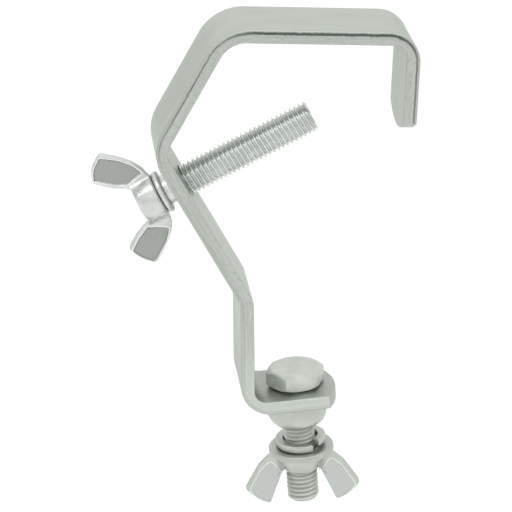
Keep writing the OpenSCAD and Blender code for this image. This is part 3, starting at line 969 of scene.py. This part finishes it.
def strap_plate(colour):
    """Zinc plate over rolled flat bar: smooth rolled faces, grainy sheared sides with a painted shadow
    along the score line.
    Places along the bar are as mark_bar() writes them: the foot ends at 40 mm, the arm with the screw
    runs from about 85 to 135 mm, and the top bar from about 185 to 235 mm."""
    n = Nodes("strap_zinc")
    place = n.node("ShaderNodeAttribute", attribute_name="bar_place").outputs["Vector"]
    split = n.node("ShaderNodeSeparateXYZ")
    n.link(place, split.inputs[0])
    along, across, deep = split.outputs
    side = n.ramp(n.math("ABSOLUTE", across), BAR_W / 2 - 0.35, BAR_W / 2 - 0.12)
    patches = n.noise(n.stretched(place, (0.06, 0.16, 0.16)), 1.0, 3.0, 0.5)
    streaks = n.noise(n.stretched(place, (0.05, 1.6, 1.6)), 1.0, 3.0, 0.6)
    grains = n.noise(n.stretched(place, (2.6, 3.4, 3.4)), 1.0, 3.0, 0.62)
    pits = n.noise(n.stretched(place, (0.55, 1.2, 1.2)), 1.0, 3.0, 0.6)
    flat = n.mix(n.ramp(patches, 0.3, 0.7), scaled(colour, 0.95), scaled(colour, 1.04))
    specks = n.mix(n.ramp(grains, 0.34, 0.58), scaled(colour, 0.66), scaled(colour, 1.0))
    sheared = n.mix(n.ramp(pits, 0.34, 0.60), specks, scaled(colour, 1.02))
    sheared = n.mix(n.ramp(streaks, 0.34, 0.60), scaled(colour, 0.86), sheared)
    # Near the foot the sheared sides are brighter, and the rolled faces are painted darker as shade from
    # the arm above them
    low_down = n.math("MULTIPLY", n.ramp(along, 50.0, 85.0, 1.0, 0.0), 0.45)
    sheared = n.mix(low_down, sheared, scaled(colour, 1.28))
    # Painted shade on the rolled faces near the foot
    flat = n.mix(low_down, flat, scaled(colour, 0.62))
    base = n.mix(side, flat, sheared)
    # The rounded outer corner is a little duller than the faces on both sides of it
    corner = n.math("MULTIPLY", n.ramp(n.math("ABSOLUTE", across), BAR_W / 2 - 0.6, BAR_W / 2 - 0.3),
                    n.ramp(deep, 0.5, 0.8, 1.0, 0.0))
    base = n.mix(n.math("MULTIPLY", corner, 0.6), base, scaled(colour, 0.85))
    # Painted shadow in the score line along the sheared sides, strongest over the pipe
    waver = n.math("MULTIPLY_ADD", n.noise(n.stretched(place, (0.25, 0.0, 0.0)), 1.0, 3.0), 0.5, -0.25)
    off = n.math("ABSOLUTE", n.math("ADD", n.math("ADD", deep, waver), -SCORE_AT))
    over_pipe = n.math("MULTIPLY", n.ramp(along, 178.0, 192.0), n.ramp(along, 232.0, 246.0, 1.0, 0.0))
    wide = n.math("MULTIPLY_ADD", over_pipe, 0.16, 0.32)
    frayed = n.noise(n.stretched(place, (1.1, 0.0, 2.0)), 1.0, 4.0, 0.75)
    ragged = n.math("MULTIPLY", wide, n.math("MULTIPLY_ADD", frayed, 2.6, -0.3))
    line = n.math("SUBTRACT", 1.0, n.ramp(n.math("DIVIDE", off, ragged), 0.55, 1.25))
    upper = n.math("ADD", n.ramp(along, 140.0, 158.0, 0.12, 0.50), n.math("MULTIPLY", over_pipe, 0.42))
    line = n.math("MULTIPLY", n.math("MULTIPLY", line, side), upper)
    # Painted shadow: the score line's colour is nearly black
    base = n.mix(line, base, (0.09, 0.105, 0.09))
    n.link(base, n.shader.inputs["Base Color"])
    rough = n.math("MULTIPLY_ADD", side, 0.07, 0.40)
    rough = n.math("ADD", rough, n.math("MULTIPLY_ADD", patches, 0.14, -0.07))
    n.link(n.math("ADD", rough, n.math("MULTIPLY", line, 0.2)), n.shader.inputs["Roughness"])
    n.shader.inputs["Metallic"].default_value = 0.85
    n.shader.inputs["Specular Tint"].default_value = EDGE_TINT
    rolled = n.bump(patches, 0.25, 0.5)
    ridges = n.bump(streaks, 0.16, 0.10, rolled)
    rough_side = n.math("MULTIPLY", n.math("ADD", grains, pits), n.math("MULTIPLY_ADD", side, 0.9, 0.1))
    n.link(n.bump(rough_side, 0.3, 0.08, ridges), n.shader.inputs["Normal"])
    return n.material


# ------------------------ stage, light and camera


FLOOR_DROP = 60.0                   # the clamp hangs, so its nut has room to travel above the floor


def make_floor(level):
    reach = 3000
    verts = [(x * reach, y * reach, level) for x, y in ((-1, -1), (1, -1), (1, 1), (-1, 1))]
    floor = scratch("floor", verts, [(0, 1, 2, 3)])
    n = Nodes("floor_paper")
    where = n.node("ShaderNodeTexCoord").outputs["Object"]
    tone = n.noise(where, 4.0, 2.0)
    n.link(n.mix(tone, (0.93, 0.93, 0.93), (0.95, 0.95, 0.95)), n.shader.inputs["Base Color"])
    n.shader.inputs["Roughness"].default_value = 0.9
    n.shader.inputs["Specular IOR Level"].default_value = 0.1
    floor.data.materials.append(n.material)


def softbox(name, at_mm, look_mm, size_mm, power):
    light = bpy.data.lights.new(name, "AREA")
    light.shape = "RECTANGLE"
    light.size, light.size_y = size_mm[0] * MM, size_mm[1] * MM
    light.energy = power
    lamp = bpy.data.objects.new(name, light)
    lamp.location = Vector(at_mm) * MM
    aim = (Vector(look_mm) - Vector(at_mm)).normalized()
    lamp.rotation_euler = aim.to_track_quat("-Z", "Y").to_euler()
    bpy.context.scene.collection.objects.link(lamp)


def make_world():
    world = bpy.data.worlds.new("studio")
    world.use_nodes = True
    tree = world.node_tree
    where = tree.nodes.new("ShaderNodeTexCoord")
    split = tree.nodes.new("ShaderNodeSeparateXYZ")
    ramp = tree.nodes.new("ShaderNodeValToRGB")
    tree.links.new(where.outputs["Generated"], split.inputs[0])
    tree.links.new(split.outputs["Z"], ramp.inputs["Fac"])
    # Brightness at each height of the sky, from level to overhead
    stops = [(0.0, 0.95), (0.2, 1.12), (0.38, 1.30), (0.6, 1.16), (1.0, 0.98)]
    ramp.color_ramp.elements[0].position, ramp.color_ramp.elements[1].position = stops[0][0], stops[-1][0]
    for position, _ in stops[1:-1]:
        ramp.color_ramp.elements.new(position)
    for element, (_, level) in zip(ramp.color_ramp.elements, stops):
        element.color = (level, level, level, 1)
    background = tree.nodes["Background"]
    # The side to the left of the clamp is a little darker
    side = tree.nodes.new("ShaderNodeMapRange")
    tree.links.new(split.outputs["X"], side.inputs["Value"])
    for socket, number in zip(RANGE_SOCKETS, (-1.0, -0.3, 0.80, 1.0)):
        side.inputs[socket].default_value = number
    shade = tree.nodes.new("ShaderNodeVectorMath")
    shade.operation = "SCALE"
    tree.links.new(ramp.outputs["Color"], shade.inputs[0])
    tree.links.new(side.outputs[0], shade.inputs["Scale"])
    tree.links.new(shade.outputs[0], background.inputs["Color"])
    background.inputs["Strength"].default_value = 0.92
    bpy.context.scene.world = world


CAMERA_TARGET = Vector((-9.35, 0.0, 48.3))
CAMERA_AROUND, CAMERA_ABOVE, CAMERA_ROLL = -4.48, 22.12, -4.32      # degrees
CAMERA_FAR, CAMERA_LENS = 822.0, 188.6                              # distance, and focal length


def make_camera():
    a, e, roll = (math.radians(v) for v in (CAMERA_AROUND, CAMERA_ABOVE, CAMERA_ROLL))
    back = Vector((math.sin(a) * math.cos(e), -math.cos(a) * math.cos(e), math.sin(e)))
    level = Vector((math.cos(a), math.sin(a), 0))
    rise = level.cross(-back)
    right = math.cos(roll) * level + math.sin(roll) * rise
    up = -math.sin(roll) * level + math.cos(roll) * rise
    data = bpy.data.cameras.new("camera")
    data.lens, data.sensor_width = CAMERA_LENS, 36.0
    data.clip_start, data.clip_end = 0.05, 20.0
    camera = bpy.data.objects.new("camera", data)
    place = Matrix((right, up, back)).transposed().to_4x4()
    place.translation = (CAMERA_TARGET + back * CAMERA_FAR) * MM
    camera.matrix_world = place
    bpy.context.scene.collection.objects.link(camera)
    bpy.context.scene.camera = camera


make_camera()

ZINC = (0.485, 0.515, 0.475)
BAR_ZINC = (0.475, 0.51, 0.468)
BRIGHT_ZINC = (0.490, 0.510, 0.493)
DULL_PANEL = (0.325, 0.345, 0.32)
COOL_PANEL = (0.485, 0.51, 0.49)
make_strap(strap_plate(BAR_ZINC))
make_bolt(zinc("bolt_zinc", scaled(ZINC, 1.09), 0.40, patchy=0.10, grain=0.35, hollow_shade=0.5, metallic=0.30))
make_lock_nut(zinc("nut_zinc", scaled(ZINC, 1.04), 0.42))
make_flat_washer(zinc("washer_zinc", scaled(ZINC, 0.90), 0.36, hollow_shade=0.5))
make_spring_washer(zinc("spring_zinc", scaled(ZINC, 0.98), 0.36, grain=0.35, hollow_shade=0.4))
make_collar(zinc("collar_zinc", scaled(BRIGHT_ZINC, 1.32), 0.24, grain=0.15, hollow_shade=0.05, metallic=0.65))
make_screw(zinc("screw_zinc", scaled(BRIGHT_ZINC, 1.38), 0.26, grain=0.12, hollow_shade=0.2))
make_screw_wing(zinc("screw_wing_zinc", scaled(BRIGHT_ZINC, 1.22), 0.28, grain=0.12, hollow_shade=0.1,
                     panel=DULL_PANEL, metallic=0.70))
make_wing_nut(zinc("wing_nut_zinc", ZINC, 0.38, grain=0.15, panel=COOL_PANEL, rim=0.6))

make_floor(cad_low.z / MM - FLOOR_DROP)
make_world()
softbox("top_light", at_mm=(-200, -330, 800), look_mm=(-200, 0, 60), size_mm=(2400, 350), power=4.4)
bpy.context.scene.view_settings.view_transform = "Standard"
